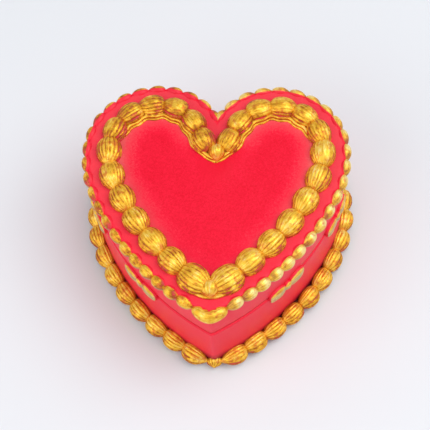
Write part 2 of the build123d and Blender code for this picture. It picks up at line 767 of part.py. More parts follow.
# ================================================================== movement: idler and governor
# Idler arbor with its pinion cut in one piece.
with BuildPart() as idler_pinion:
    with BuildSketch(across(right_bearing + side_clearance / 2, idler_y, -idler_drop)):
        Circle(idler_radius)
    extrude(amount=bracket_ear_left + bracket_thickness - side_clearance / 2 - right_bearing)
    with BuildSketch(across(gear_left - side_clearance / 2, idler_y, -idler_drop)):
        Polygon(*gear_outline(idler_pinion_teeth, train_module,
                              turn=train_angle + 180 + 180 / idler_pinion_teeth), align=None)
    extrude(amount=gear_face + side_clearance)
idler_pinion.part.label = "idler_pinion"
export_step(idler_pinion.part, "parts/idler_pinion.step")

# Worm wheel beside the pinion on the same arbor.
with BuildPart() as worm_wheel:
    with BuildSketch(across(worm_wheel_left, idler_y, -idler_drop)):
        Polygon(*gear_outline(worm_wheel_teeth, train_module), align=None)
        Circle(idler_radius + seat_clearance, mode=Mode.SUBTRACT)
    extrude(amount=gear_face)
worm_wheel.part.label = "worm_wheel"
export_step(worm_wheel.part, "parts/worm_wheel.step")

foot_top = bed_top + bracket_thickness
bracket_back = worm_y + fan_radius + side_clearance

# Upright governor shaft with its worm, in pivots in the bracket's foot and arm.
with BuildPart() as governor_worm:
    with BuildSketch(upright(worm_x, worm_y, bed_top + pivot_gap)):
        Circle(governor_radius)
    extrude(amount=deck_height - 2 * pivot_gap - bed_top)
    with BuildSketch(upright(worm_x, worm_y, worm_middle - worm_length / 2)):
        Circle(worm_root_radius)
    extrude(amount=worm_length)
governor_worm.part.label = "governor_worm"
export_step(governor_worm.part, "parts/governor_worm.step")

# Two-bladed air brake on the governor shaft.
with BuildPart() as governor_fan:
    with BuildSketch(upright(worm_x, worm_y, fan_bottom)):
        Rectangle(2 * fan_radius, fan_thickness)
        Circle(fan_hub_radius)
        Circle(governor_radius + seat_clearance, mode=Mode.SUBTRACT)
    extrude(amount=fan_height)
governor_fan.part.label = "governor_fan"
export_step(governor_fan.part, "parts/governor_fan.step")

# Bent bracket: foot on the bed, back, arm over the fan, and an ear for the idler arbor.
foot_front = idler_y - idler_ear
foot_left = worm_x - bracket_half_width
foot_right = bracket_ear_left + bracket_thickness
with BuildPart() as governor_bracket:
    with BuildSketch(upright(foot_left, foot_front, bed_top)):
        Rectangle(foot_right - foot_left, bracket_back + bracket_thickness - foot_front,
                  align=(Align.MIN, Align.MIN))
    extrude(amount=bracket_thickness)
    with BuildSketch(upright(foot_left, bracket_back, foot_top)):
        Rectangle(foot_right - foot_left, bracket_thickness, align=(Align.MIN, Align.MIN))
    extrude(amount=arm_bottom - foot_top)
    with BuildSketch(upright(worm_x, worm_y, arm_bottom)):
        Circle(bracket_half_width)
        Rectangle(2 * bracket_half_width, bracket_back + bracket_thickness - worm_y,
                  align=(Align.CENTER, Align.MIN))
        with Locations((bracket_half_width, bracket_back - worm_y)):
            Rectangle(foot_right - worm_x - bracket_half_width, bracket_thickness,
                      align=(Align.MIN, Align.MIN))
    extrude(amount=bracket_thickness)
    with BuildSketch(across(bracket_ear_left, idler_y, -idler_drop)):
        Circle(idler_ear)
        with Locations((0, (foot_top - worm_middle) / 2)):
            Rectangle(2 * idler_ear, worm_middle - foot_top)
        Circle(idler_radius + running_clearance, mode=Mode.SUBTRACT)
    extrude(amount=bracket_thickness)
    with BuildSketch(upright(worm_x, worm_y, bed_top)):
        Circle(governor_radius + running_clearance)
    extrude(amount=deck_height - bed_top, mode=Mode.SUBTRACT)
    with BuildSketch(upright(*bracket_screw_spot, bed_top)):
        Circle(screw_radius + screw_clearance)
    extrude(amount=bracket_thickness, mode=Mode.SUBTRACT)
governor_bracket.part.label = "governor_bracket"
export_step(governor_bracket.part, "parts/governor_bracket.step")

# One screw through the bracket's foot into the bed.
bracket_screw_seat = upright(*bracket_screw_spot, foot_top).origin
with BuildPart() as bracket_screw:
    with Locations(Plane(origin=bracket_screw_seat, z_dir=(0, 0, -1)).location):
        add(pan_screw(bracket_thickness + bed_thickness - screw_clearance))
bracket_screw.part.label = "bracket_screw"
export_step(bracket_screw.part, "parts/bracket_screw.step")
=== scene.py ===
from math import acos, cos, degrees, pi, radians, sin, tan

import bmesh
import bpy
import numpy as np
from mathutils import Matrix, Vector


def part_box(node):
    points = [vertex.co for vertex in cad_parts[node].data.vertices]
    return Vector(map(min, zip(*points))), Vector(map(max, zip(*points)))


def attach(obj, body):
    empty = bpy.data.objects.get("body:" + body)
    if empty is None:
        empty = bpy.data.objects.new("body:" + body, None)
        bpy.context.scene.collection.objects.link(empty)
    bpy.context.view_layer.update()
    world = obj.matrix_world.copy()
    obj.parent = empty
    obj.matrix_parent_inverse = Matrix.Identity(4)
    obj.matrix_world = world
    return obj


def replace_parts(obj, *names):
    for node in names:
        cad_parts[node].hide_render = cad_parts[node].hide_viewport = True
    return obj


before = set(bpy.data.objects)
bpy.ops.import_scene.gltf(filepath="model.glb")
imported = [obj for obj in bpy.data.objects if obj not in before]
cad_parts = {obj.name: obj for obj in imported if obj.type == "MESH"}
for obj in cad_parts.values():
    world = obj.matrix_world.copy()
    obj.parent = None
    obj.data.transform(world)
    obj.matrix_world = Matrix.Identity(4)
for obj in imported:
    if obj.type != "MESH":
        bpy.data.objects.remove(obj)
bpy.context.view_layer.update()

# ------------------------------------------------------------------ camera
# One long lens looks down on the heart from the front, a little from the right and slightly tilted.
# Its turn, drop and tilt are in degrees, its place in metres.
view_turn, view_drop, view_tilt = radians(-6.497), radians(62.580), radians(-4.922)
camera_place = Vector((0.03241, -0.28686, 0.59650))
ahead = Vector((sin(view_turn) * cos(view_drop), cos(view_turn) * cos(view_drop), -sin(view_drop)))
level = Vector((cos(view_turn), -sin(view_turn), 0))
upright = level.cross(ahead)
across = cos(view_tilt) * level + sin(view_tilt) * upright
upright = cos(view_tilt) * upright - sin(view_tilt) * level
lens = bpy.data.cameras.new("camera")
lens.sensor_width = 36
lens.lens = 120.47
camera = bpy.data.objects.new("camera", lens)
camera.matrix_world = Matrix((across, upright, -ahead)).transposed().to_4x4()
camera.matrix_world.translation = camera_place
bpy.context.collection.objects.link(camera)
bpy.context.scene.camera = camera
bpy.context.scene.view_settings.view_transform = "Standard"


# ------------------------------------------------------------------ base casting
# Lower half of the cake: polyresin poured in a silicone mould, with the trinket floor, the neck
# that locates the lid and four screw bosses cast in, then sprayed with satin red lacquer.
MM = 0.001
cleft_y, cleft_heading = 37.78, 63.5
# Radius in mm and degrees turned of each arc, from the cleft round the lobe; the last ends at the tip.
heart_arcs = [(28.6, 76.4), (30.7, 73.3), (48.0, 27.1), (118.0, None)]
corner_size = 1.2
base_top, recess_depth, plate_thickness = 33.4, 11.5, 2.5
neck_inset, cavity_inset, neck_top = 4.3, 6.5, 38.5
deck_underside, compartment_floor = 32.5, 34.7
base_edge = 1.0
boss_spots, boss_radius, boss_bore = [(-36, 33), (36, 33), (-13, -31), (13, -31)], 3.5, 1.3


def half_outline(grow, steps=80):
    """Close points down the right half of the heart, moved outward by grow mm, cleft to tip."""
    x, y, heading = 0.0, cleft_y, cleft_heading
    points = []
    for radius, sweep in heart_arcs:
        middle = (x + radius * sin(radians(heading)), y - radius * cos(radians(heading)))
        start = heading + 90
        if not points:
            start = min(start, degrees(acos(-middle[0] / max(radius + grow, middle[0]))))
        if sweep is None:
            end = -degrees(acos(-middle[0] / (radius + grow)))
        else:
            end = heading + 90 - sweep
            heading -= sweep
            x = middle[0] - radius * sin(radians(heading))
            y = middle[1] + radius * cos(radians(heading))
        turn = np.radians(np.linspace(start, end, steps))
        arc = np.stack([np.cos(turn), np.sin(turn)], axis=1) * (radius + grow) + middle
        if not points and arc[0, 0] > 0.001:
            points.append(np.array([[0.0, arc[0, 1] - arc[0, 0] * tan(radians(start - 90))]]))
            points.append(arc[0:1])
        points.append(arc[1:] if points else arc)
    return np.concatenate(points)


def along(outline, distances, step=0.4):
    """Places at these distances down an outline, and the unit way it runs at each."""
    reach = np.concatenate([[0], np.cumsum(np.hypot(*np.diff(outline, axis=0).T))])
    distances = np.clip(distances, 0, reach[-1])
    place, behind, before = (
        np.stack([np.interp(where, reach, outline[:, axis]) for axis in (0, 1)], axis=-1)
        for where in (distances, np.maximum(distances - step, 0), np.minimum(distances + step, reach[-1]))
    )
    way = before - behind
    return place, way / np.linalg.norm(way, axis=-1, keepdims=True)


def half_length(outline):
    """Length of an outline in mm."""
    return float(np.hypot(*np.diff(outline, axis=0).T).sum())


def heart_ring(inset, height, spokes=97):
    """Closed ring of points round the heart, its tip and cleft softened."""
    outline = half_outline(-inset)
    reach = half_length(outline)
    close = np.array([0.15, 0.3, 0.5, 0.7, 0.9, 1.1, 1.3])
    spots = np.sort(np.concatenate([np.linspace(0, reach, spokes), close, reach - close]))
    right = along(outline, spots)[0]
    # Each corner becomes a short curve that starts corner_size before it and bends by its point.
    for corner, gone in ((outline[0], spots), (outline[-1], reach - spots)):
        edge = along(outline, spots[np.argmin(np.abs(gone - corner_size))])[0]
        share = 0.5 - 0.5 * gone / gone[np.argmin(np.abs(gone - corner_size))]
        for k in np.flatnonzero(share > 0):
            right[k, 0] = edge[0] * ((1 - share[k]) ** 2 - share[k] ** 2)
            right[k, 1] = edge[1] * ((1 - share[k]) ** 2 + share[k] ** 2)
            right[k, 1] += 2 * share[k] * (1 - share[k]) * corner[1]
    ring = np.concatenate([right, right[-2:0:-1] * (-1, 1)])
    return np.column_stack([ring, np.full(len(ring), height)])


def form_of_rings(rings, close=False):
    """Points and faces through rings of equally many points, capped at both ends or closed on itself."""
    count, faces = len(rings[0]), []
    for ring in range(len(rings) if close else len(rings) - 1):
        below, above = ring * count, (ring + 1) % len(rings) * count
        for k in range(count):
            after = (k + 1) % count
            faces.append((below + k, below + after, above + after, above + k))
    if not close:
        faces.append(tuple(range(count))[::-1])
        faces.append(tuple(range((len(rings) - 1) * count, len(rings) * count)))
    return np.concatenate(rings), faces


def corner_arc(inset, height, radius, start, end, steps=5):
    """Rounded edge in a casting's profile: (inset, height) points round a centre."""
    turns = np.radians(np.linspace(start, end, steps))
    return [(inset + radius * cos(turn), height + radius * sin(turn)) for turn in turns]


def turned_form(x, y, profile, sides=40, close=False):
    """Form turned round an upright axis from (radius, height) points."""
    turn = np.linspace(0, 2 * pi, sides, endpoint=False)
    rings = [
        np.column_stack([x + r * np.cos(turn), y + r * np.sin(turn), np.full(sides, z)])
        for r, z in profile
    ]
    return form_of_rings(rings, close)


def make_piece(name, forms, finish, sharp=35, **values):
    """One smooth-shaded piece from closed forms of (points in mm, faces), with values per point."""
    faces, first = [], 0
    for points, form_faces in forms:
        faces += [tuple(first + k for k in face) for face in form_faces]
        first += len(points)
    mesh = bpy.data.meshes.new(name)
    mesh.from_pydata(np.concatenate([points for points, _ in forms]) * MM, [], faces)
    for key, numbers in values.items():
        numbers = np.asarray(numbers, np.float32)
        kind, field = ("FLOAT", "value") if numbers.ndim == 1 else ("FLOAT_VECTOR", "vector")
        mesh.attributes.new(key, kind, "POINT").data.foreach_set(field, numbers.ravel())
    shape = bmesh.new()
    shape.from_mesh(mesh)
    bmesh.ops.recalc_face_normals(shape, faces=shape.faces)
    shape.to_mesh(mesh)
    shape.free()
    mesh.shade_smooth()
    mesh.set_sharp_from_angle(angle=radians(sharp))
    mesh.materials.append(finish)
    piece = bpy.data.objects.new(name, mesh)
    bpy.context.collection.objects.link(piece)
    return piece


def srgb(code):
    """Linear colour of an sRGB hex value."""
    parts = [int(code[k:k + 2], 16) / 255 for k in (1, 3, 5)]
    return (*[p / 12.92 if p <= 0.04045 else ((p + 0.055) / 1.055) ** 2.4 for p in parts], 1.0)


def add_node(tree, kind, inputs=None, stops=(), **settings):
    """Adds a node, or sets up one that is there: its settings, a colour ramp's (place, colour) stops,
    and its inputs, each a value or the socket that feeds it."""
    node = kind if isinstance(kind, bpy.types.Node) else tree.nodes.new("ShaderNode" + kind)
    for key, value in settings.items():
        setattr(node, key, value)
    while len(stops) > len(node.color_ramp.elements if stops else ()):
        node.color_ramp.elements.new(1.0)
    for k, (place, colour) in enumerate(stops):
        node.color_ramp.elements[k].position = place
        node.color_ramp.elements[k].color = srgb(colour)
    for key, value in (inputs or {}).items():
        if isinstance(value, bpy.types.NodeSocket):
            tree.links.new(value, node.inputs[key])
        else:
            node.inputs[key].default_value = value
    return node


def new_finish(name):
    """A new material; gives it, its tree and its shader."""
    finish = bpy.data.materials.new(name)
    finish.use_nodes = True
    return finish, finish.node_tree, finish.node_tree.nodes["Principled BSDF"]


# Polyresin under satin cellulose lacquer: deep even red that pales towards the piping, an orange-peel
# grain of 0.8 mm and a hand-rubbed waviness of 16 mm that shifts the red a little. The pale value also
# paints a sheen on the walls, and a darker red low on the wall is painted shade of the foot piping.
grain_size, wave_size = 0.8 * MM, 16 * MM
shade_from, shade_full = 11 * MM, 5.5 * MM
red_lacquer, tree, shader = new_finish("satin_red_lacquer_on_resin")
where = add_node(tree, "TexCoord").outputs["Object"]
pale = add_node(tree, "Attribute", attribute_name="pale").outputs["Fac"]
grainy = add_node(tree, "Attribute", attribute_name="grain").outputs["Fac"]
cloud = add_node(tree, "TexNoise", {"Vector": where, "Scale": 1 / wave_size, "Detail": 2.0}).outputs["Fac"]
grain = add_node(tree, "TexNoise", {"Vector": where, "Scale": 1 / grain_size, "Detail": 2.0,
                                    "Roughness": 0.6, "Distortion": 1.0}).outputs["Fac"]
pits = add_node(tree, "MapRange", {"Value": grain, "From Min": 0.36, "From Max": 0.64,
                                   "To Max": 0.26}).outputs[0]
pits = add_node(tree, "Math", {0: pits, 1: grainy}, operation="MULTIPLY").outputs[0]
tone = add_node(tree, "Math", {0: cloud, 1: 0.2, 2: pale}, operation="MULTIPLY_ADD").outputs[0]
tone = add_node(tree, "Math", {0: tone, 1: pits}, operation="ADD").outputs[0]
red = add_node(tree, "ValToRGB", {"Fac": tone}, [
    (0.08, "#DE0024"), (0.4, "#F01236"), (0.75, "#F04450"), (1.1, "#E86A66"),
]).outputs["Color"]
rise = add_node(tree, "SeparateXYZ", {0: where}).outputs["Z"]
# Painted shade: the red turns maroon low on the wall, where the foot piping shades it.
low = add_node(tree, "MapRange", {"Value": rise, "From Min": shade_from, "From Max": shade_full,
                                  "To Max": 0.85}).outputs[0]
red = add_node(tree, "Mix", {0: low, 6: red, 7: srgb("#7E1428")}, data_type="RGBA").outputs[2]
gloss = add_node(tree, "MapRange", {"Value": cloud, "From Min": 0.3, "From Max": 0.7,
                                    "To Min": 0.36, "To Max": 0.5}).outputs[0]
height = add_node(tree, "Math", {0: grain, 1: grainy}, operation="MULTIPLY").outputs[0]
relief = add_node(tree, "Bump", {"Height": height, "Strength": 0.5, "Distance": 0.15 * MM}).outputs[0]
add_node(tree, shader, {"Base Color": red, "Roughness": gloss, "Normal": relief,
                        "IOR": 1.48, "Specular IOR Level": 0.22})

# Profile of (inset, height) points: up under the deck, out under the foot, up the wall, over the neck.
base_profile = [(cavity_inset, deck_underside), (cavity_inset, 18), (cavity_inset, 0.5), (6.0, 0), (0.6, 0)]
base_profile += [(0.18, 0.18), (0, 0.6), (0, 12), (0, 23), (0, 32.3)]
base_profile += corner_arc(base_edge, base_top - base_edge, base_edge, 180, 90)
base_profile += [(neck_inset, base_top), (neck_inset, neck_top - 0.5), (neck_inset + 0.15, neck_top - 0.15)]
base_profile += [(neck_inset + 0.5, neck_top), (cavity_inset - 0.4, neck_top), (cavity_inset, neck_top - 0.4)]
base_profile += [(cavity_inset, compartment_floor)]
base_forms = [form_of_rings([heart_ring(inset, height) for inset, height in base_profile])]
plate_top = recess_depth + plate_thickness
boss_profile = [(boss_radius, plate_top), (boss_radius, deck_underside + 0.5)]
boss_profile += [(boss_bore, deck_underside + 0.5), (boss_bore, deck_underside - 1), (boss_bore, plate_top)]
base_forms += [turned_form(x, y, boss_profile, close=True) for x, y in boss_spots]
base_count = sum(len(points) for points, _ in base_forms)
# The base casting's pale value is painted sheen: it lightens the red towards the pinkish reflection of the
# pale floor on satin lacquer.
wall_painted_sheen, wall_grain = 0.34, 0.35
base_casting = make_piece("base_casting", base_forms, red_lacquer,
                          pale=np.full(base_count, wall_painted_sheen), grain=np.full(base_count, wall_grain))
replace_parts(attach(base_casting, "base"), "base_shell")


# ------------------------------------------------------------------ piped border round the foot
# Big shells like piped icing, cast with the wall: each has a blunt head to the back, eight flutes
# drawn in to a tail, and its tail tucked under the next head. Brushed with gold over the red.
def piped_shell(length, half_width, half_height, lift, floor, flutes, depth, seed,
                crown=0.0, widest=0.4, skirt=0.0, stain=0.85, rows=26, columns=13):
    """A piped shell along x, head at -x: points, faces, crest share and stroke place of each point.

    Its flutes are cut in by depth, and filled over the top by crown; widest is the share of its length
    where it is fullest, skirt how much it spreads at its foot, stain how bare the flutes are of gold."""
    chance = np.random.default_rng(seed)
    lean, bulge, sway, turn, wave = chance.uniform(-1, 1, 5)
    # Rows down its length, closer at both ends, and columns for each flute, from side to side.
    share = 0.5 - 0.5 * np.cos(np.linspace(0.03, 0.985, rows)[:, None] * pi)
    fan = np.radians(np.linspace(-35, 215, flutes * columns + 1))[None, :]
    head = (1 - np.clip(1 - share / widest, 0, 1) ** 2.2) ** 0.45
    tail = np.cos(pi / 2 * (np.clip(share - widest, 0, 1) / (1 - widest)) ** 1.25)
    swell = head * tail
    # Round ribs with narrow valleys between, unevenly spread, fading at both ends and on the crown.
    spread = fan - pi / 2 - 0.06 * lean + 0.07 * np.sin(3 * fan + 4 * wave)
    spread = spread + 0.05 * wave * np.sin(6 * share + 2 * fan)
    flute = np.abs(np.cos(flutes * spread)) ** 0.55
    bare_crown = crown * (0.88 + 0.12 * sway) * np.exp(-(((fan - pi / 2 - 0.2 * lean) / 0.9) ** 4))
    toward_ends = np.minimum(1, 6 * share) * np.minimum(1, 5 * (1 - share))
    cut = (1 - flute) * (1 - bare_crown) * toward_ends
    foot = np.clip(0.5 - 0.5 * np.sin(fan), 0, 1) ** 3
    # Squeezed by hand, so a little lopsided and twisted, and set down flat on its floor.
    uneven = 1 + 0.025 * bulge * np.sin(2 * fan) + 0.03 * sway * np.sin(5 * share + fan)
    body = swell * (1 - depth * cut) * uneven
    x = (share - 0.42) * length + 0 * fan
    y = half_width * body * np.cos(fan) * (1 + skirt * foot)
    z = half_height * body * np.sin(fan)
    twist = radians(4) * turn
    y, z = y * cos(twist) - z * sin(twist), lift + y * sin(twist) + z * cos(twist)
    points = np.stack([x, y, np.maximum(z, floor)], axis=-1).reshape(-1, 3)
    spokes = fan.shape[1]
    faces = form_of_rings([points[k:k + spokes] for k in range(0, len(points), spokes)])[1]
    # The brush runs down the flutes; it misses the low sides and the underside of the head. Their darker
    # gold there is also painted shade, where the shells meet each other and the floor.
    stroke = np.stack([x, fan * half_width + 0 * x, np.full_like(x, chance.uniform(0, 90))], axis=-1)
    thin_paint_and_shade = 0.42 * np.clip(1 - np.sin(fan), 0, 1) ** 1.5 + 0.6 * np.clip(1 - 9 * share, 0, 1) + 0 * x
    crest = 1 + 0.06 * bare_crown - stain * cut - thin_paint_and_shade
    return points, faces, crest.ravel(), stroke.reshape(-1, 3)


def set_down(form, place, way, mirrored=False):
    """Moves a form made along x to a place, turned to point along a way, for the right or left half."""
    moved = np.outer(form[0][:, 0], way) + np.outer(form[0][:, 1], (-way[1], way[0])) + place
    if mirrored:
        moved = moved * (-1, 1)
    return (np.column_stack([moved, form[0][:, 2]]), *form[1:])


def gilded_piece(name, forms):
    """One gold-brushed piece from forms of points, faces, crest and stroke values and, where the paint is
    left off, bare values too, and values for a painted reflection of the pale floor that tints the gold tan."""
    whole = [(*form, *[np.zeros(len(form[0]))] * (6 - len(form))) for form in forms]
    values = {
        key: np.concatenate([form[k] for form in whole])
        for k, key in enumerate(("crest", "stroke", "bare", "painted_reflection"), start=2)
    }
    return make_piece(name, [form[:2] for form in whole], gold_paint, **values)


# Gold craft paint dry-brushed over the red lacquer: bright on the flutes' crests, browned where it
# thins in smears of 4.5 mm, red in the valleys and in worn specks of 2.4 mm. Bristle marks, about
# 0.2 mm in life, are drawn 0.45 mm across and 3.3 mm along the flutes so that they show.
smear_size, speck_size = 4.5 * MM, 2.4 * MM
marks_per_mm = (0.3, 2.2, 1.0)
gold_paint, tree, shader = new_finish("gold_paint_brushed_over_red")
where = add_node(tree, "TexCoord").outputs["Object"]
crest = add_node(tree, "Attribute", attribute_name="crest").outputs["Fac"]
stroke = add_node(tree, "Attribute", attribute_name="stroke").outputs["Vector"]
bare = add_node(tree, "Attribute", attribute_name="bare").outputs["Fac"]
painted_reflection = add_node(tree, "Attribute", attribute_name="painted_reflection").outputs["Fac"]
drawn = add_node(tree, "Mapping", {"Vector": stroke, "Scale": marks_per_mm}).outputs[0]
streak = add_node(tree, "TexNoise", {"Vector": drawn, "Scale": 1.0, "Detail": 4.0,
                                     "Roughness": 0.65}).outputs["Fac"]
smear = add_node(tree, "TexNoise", {"Vector": where, "Scale": 1 / smear_size, "Detail": 4.0,
                                    "Roughness": 0.7}).outputs["Fac"]
speck = add_node(tree, "TexNoise", {"Vector": where, "Scale": 1 / speck_size, "Detail": 4.0,
                                    "Roughness": 0.6}).outputs["Fac"]
valley = add_node(tree, "Math", {0: 1.0, 1: crest}, operation="SUBTRACT").outputs[0]
filled = add_node(tree, "MapRange", {"Value": smear, "From Min": 0.38, "From Max": 0.6,
                                     "To Min": 1.5, "To Max": 0.35}).outputs[0]
valley = add_node(tree, "Math", {0: valley, 1: filled}, operation="MULTIPLY").outputs[0]
cover = add_node(tree, "MapRange", {"Value": streak, "From Min": 0.3, "From Max": 0.7,
                                    "To Min": 0.45, "To Max": 0.95}).outputs[0]
cover = add_node(tree, "Math", {0: smear, 1: 0.6, 2: cover}, operation="MULTIPLY_ADD").outputs[0]
cover = add_node(tree, "Math", {0: cover, 1: valley}, operation="SUBTRACT").outputs[0]
scuffed = add_node(tree, "MapRange", {"Value": speck, "From Min": 0.52, "From Max": 0.66,
                                      "To Max": 0.75}).outputs[0]
cover = add_node(tree, "MapRange", {"Value": cover, "From Min": -0.15, "From Max": 1.25}).outputs[0]
gold = add_node(tree, "ValToRGB", {"Fac": cover}, [
    (0.0, "#D82A3C"), (0.18, "#B63A26"), (0.32, "#9C4E14"), (0.48, "#C88A1E"),
    (0.64, "#E8AC2A"), (0.82, "#F8CA48"), (1.0, "#FFE694"),
]).outputs["Color"]
metal = add_node(tree, "MapRange", {"Value": cover, "From Min": 0.12, "From Max": 0.4,
                                    "To Max": 0.68}).outputs[0]
ragged = add_node(tree, "Math", {0: streak, 1: 0.5, 2: bare}, operation="MULTIPLY_ADD").outputs[0]
uncovered = add_node(tree, "MapRange", {"Value": ragged, "From Min": 0.7, "From Max": 0.8}).outputs[0]
patchy = add_node(tree, "MapRange", {"Value": smear, "From Min": 0.38, "From Max": 0.62,
                                     "To Min": 0.95, "To Max": 0.6}).outputs[0]
# Painted reflection: the thin share mixes in a tan and lowers the metal, standing for the pale floor
# reflected in faces that look out and down.
thin = add_node(tree, "Math", {0: painted_reflection, 1: patchy}, operation="MULTIPLY").outputs[0]
coat = add_node(tree, "Mix", {0: scuffed, 6: gold, 7: srgb("#D2662C")}, data_type="RGBA").outputs[2]
reflection_tan = add_node(tree, "ValToRGB", {"Fac": streak}, [(0.3, "#A6935F"), (0.7, "#CFC095")]).outputs["Color"]
coat = add_node(tree, "Mix", {0: thin, 6: coat, 7: reflection_tan}, data_type="RGBA").outputs[2]
coat = add_node(tree, "Mix", {0: uncovered, 6: coat, 7: srgb("#F01C38")}, data_type="RGBA").outputs[2]
metal = add_node(tree, "Mix", {0: uncovered, 2: metal, 3: 0.0}).outputs[0]
metal = add_node(tree, "Mix", {0: thin, 2: metal, 3: 0.25}).outputs[0]
gloss = add_node(tree, "MapRange", {"Value": streak, "From Min": 0.3, "From Max": 0.7,
                                    "To Min": 0.36, "To Max": 0.54}).outputs[0]
relief = add_node(tree, "Bump", {"Height": streak, "Strength": 0.4, "Distance": 0.15 * MM}).outputs[0]
add_node(tree, shader, {"Base Color": coat, "Metallic": metal, "Roughness": gloss, "Normal": relief,
                        "Specular IOR Level": 0.4})

# The border isn't parallel to the wall: it swings out along the flank, more on the right half, and
# in at the waist. Each swing is (distance down the border, how far it reaches, how much), in mm.
foot_line = half_outline(1.2)
foot_first, foot_gap, foot_shells = 2.5, 10.6, 17
foot_pitch = (half_length(foot_line) - foot_first - foot_gap) / (foot_shells - 1)
flank_at, flank_reach, flank_swing = 127, 25, 1.35
waist_at, waist_reach, waist_swing = 78, 16, 0.9
left_share, right_share = 0.75, 1.15
wall_side_width = 0.64
foot_forms = []
for k in range(foot_shells):
    for mirrored in (False, True):
        station = foot_first + k * foot_pitch
        place, way = along(foot_line, station)
        swing = flank_swing * np.exp(-(((station - flank_at) / flank_reach) ** 2))
        swing = swing - waist_swing * np.exp(-(((station - waist_at) / waist_reach) ** 2))
        if swing > 0:
            swing = swing * (left_share if mirrored else right_share)
        place = place + swing * np.array((-way[1], way[0]))
        shell = piped_shell(13.4, 5.2, 4.5, lift=4.4, floor=0.4, flutes=8, depth=0.11,
                            seed=100 + 2 * k + mirrored, crown=0.5, stain=0.7)
        shell[0][:, 1] *= np.where(shell[0][:, 1] < 0, wall_side_width, 1.0)
        shell = (*shell[:2], shell[2] - 0.04, shell[3])
        foot_forms.append(set_down(shell, place, way, mirrored))
shell = piped_shell(5.6, 3.6, 3.0, lift=3.0, floor=0.4, flutes=6, depth=0.14, seed=99)
foot_forms.append(set_down(shell, foot_line[-1] + (0, 2.0), np.array([0.0, -1.0])))
foot_border = gilded_piece("foot_border", foot_forms)
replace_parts(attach(foot_border, "base"), "base_border")


# ------------------------------------------------------------------ swags across the seam
# Leaf, bead and leaf, eight times round the wall, moulded half on each casting so that they part
# when the lid lifts. Only their faces are gilded, and their lower faces are tinted tan, a painted reflection
# of the pale floor.
swags_a_side, swag_first, swag_gap, leaf_step = 4, 19.4, 40.0, 5.9
leaf_length, leaf_rise, bead_length, bead_rise, swag_proud = 9.0, 4.2, 4.0, 2.8, 2.6
lid_bottom = base_top + 0.2
wall_line = half_outline(0)
swag_pitch = (half_length(wall_line) - swag_first - swag_gap) / (swags_a_side - 1)


def swag_half(station, length, half_height, proud, side, seed, mirrored, sunk=0.6, root_depth=1.0):
    """Upper (side 1) or lower (side -1) half of one leaf or bead, bent to the wall, flat at the seam."""
    chance = np.random.default_rng(seed)
    share = 0.5 - 0.5 * np.cos(np.linspace(0.05, 0.95, 20)[:, None] * pi)
    turn = np.linspace(0, pi, 17)[None, :]
    # Nearly as full at its ends as in the middle, with a flat face and a steep edge.
    swell = np.sin(pi * share) ** 0.22
    profile = np.abs(np.cos(turn / 2)) ** 0.5
    up = half_height * swell * np.sin(turn / 2) ** 0.8
    uneven = 1 + 0.05 * chance.uniform(-1, 1) * np.cos(9 * share)
    out = proud * (0.45 + 0.55 * swell) * profile * uneven - sunk
    spot = (share[:, 0] - 0.5) * length
    place, way = along(wall_line, station + spot)
    outward = np.stack([-way[:, 1], way[:, 0]], axis=1)
    flat = place[:, None, :] + outward[:, None, :] * out[:, :, None]
    seam = base_top if side < 0 else lid_bottom
    points = np.concatenate([flat, (seam + side * up)[:, :, None]], axis=2)
    root = np.column_stack([place - outward * root_depth, np.full(len(place), seam)])[:, None, :]
    points = np.concatenate([points, root], axis=1)
    if mirrored:
        points = points * (-1, 1, 1)
    faces = form_of_rings(list(points))[1]
    # Red is left on its edges, and from the middle down the face is tinted tan, a painted reflection of the
    # pale floor.
    bare = np.clip(1.5 - 1.5 * (out + sunk) / proud, 0, 1)
    bare = np.concatenate([bare, np.ones((len(place), 1))], axis=1)
    stroke = np.stack([spot[:, None] + 0 * bare, np.arange(points.shape[1]) * 0.2 + 0 * bare,
                       np.full(bare.shape, chance.uniform(0, 90))], axis=-1)
    height = np.concatenate([side * up, 0 * up[:, :1]], axis=1)
    painted_reflection = np.clip((0.62 * half_height - height) / 1.2, 0, 0.92)
    crest = np.full(bare.size, 0.9)
    return points.reshape(-1, 3), faces, crest, stroke.reshape(-1, 3), bare.ravel(), painted_reflection.ravel()


swag_parts = [(-leaf_step, leaf_length, leaf_rise), (0, bead_length, bead_rise),
              (leaf_step, leaf_length, leaf_rise)]
swag_bodies = [("lid_swag_halves", 1, "lid", "lid_swags"), ("base_swag_halves", -1, "base", "base_swags")]
for name, side, body, node in swag_bodies:
    swag_forms = []
    for k in range(swags_a_side):
        for mirrored in (False, True):
            for offset, length, rise in swag_parts:
                station = swag_first + k * swag_pitch + offset
                seed = 300 + 8 * k + mirrored
                swag_forms.append(swag_half(station, length, rise, swag_proud, side, seed, mirrored))
    swags = gilded_piece(name, swag_forms)
    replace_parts(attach(swags, body), node)


# ------------------------------------------------------------------ felt on the trinket floor
# A heart of 1 mm wool felt, die-cut and laid loose on the floor inside the neck: matt, darker than
# the lacquer, with a soft cut edge and short fibres lying every way. Wool is 0.03 mm across, too fine
# to show, so tufts of 0.7 mm stand for it, in clumps of 7 mm.
fibre_size, clump_size = 0.7 * MM, 7 * MM
felt, tree, shader = new_finish("red_wool_felt")
where = add_node(tree, "TexCoord").outputs["Object"]
fibre = add_node(tree, "TexNoise", {"Vector": where, "Scale": 1 / fibre_size, "Detail": 5.0,
                                    "Roughness": 0.7, "Distortion": 2.5}).outputs["Fac"]
clump = add_node(tree, "TexNoise", {"Vector": where, "Scale": 1 / clump_size, "Detail": 2.0}).outputs["Fac"]
tone = add_node(tree, "Math", {0: clump, 1: 0.4, 2: fibre}, operation="MULTIPLY_ADD").outputs[0]
wool = add_node(tree, "ValToRGB", {"Fac": tone}, [
    (0.4, "#8E0A1C"), (0.7, "#B01428"), (1.0, "#CC2C3C"),
]).outputs["Color"]
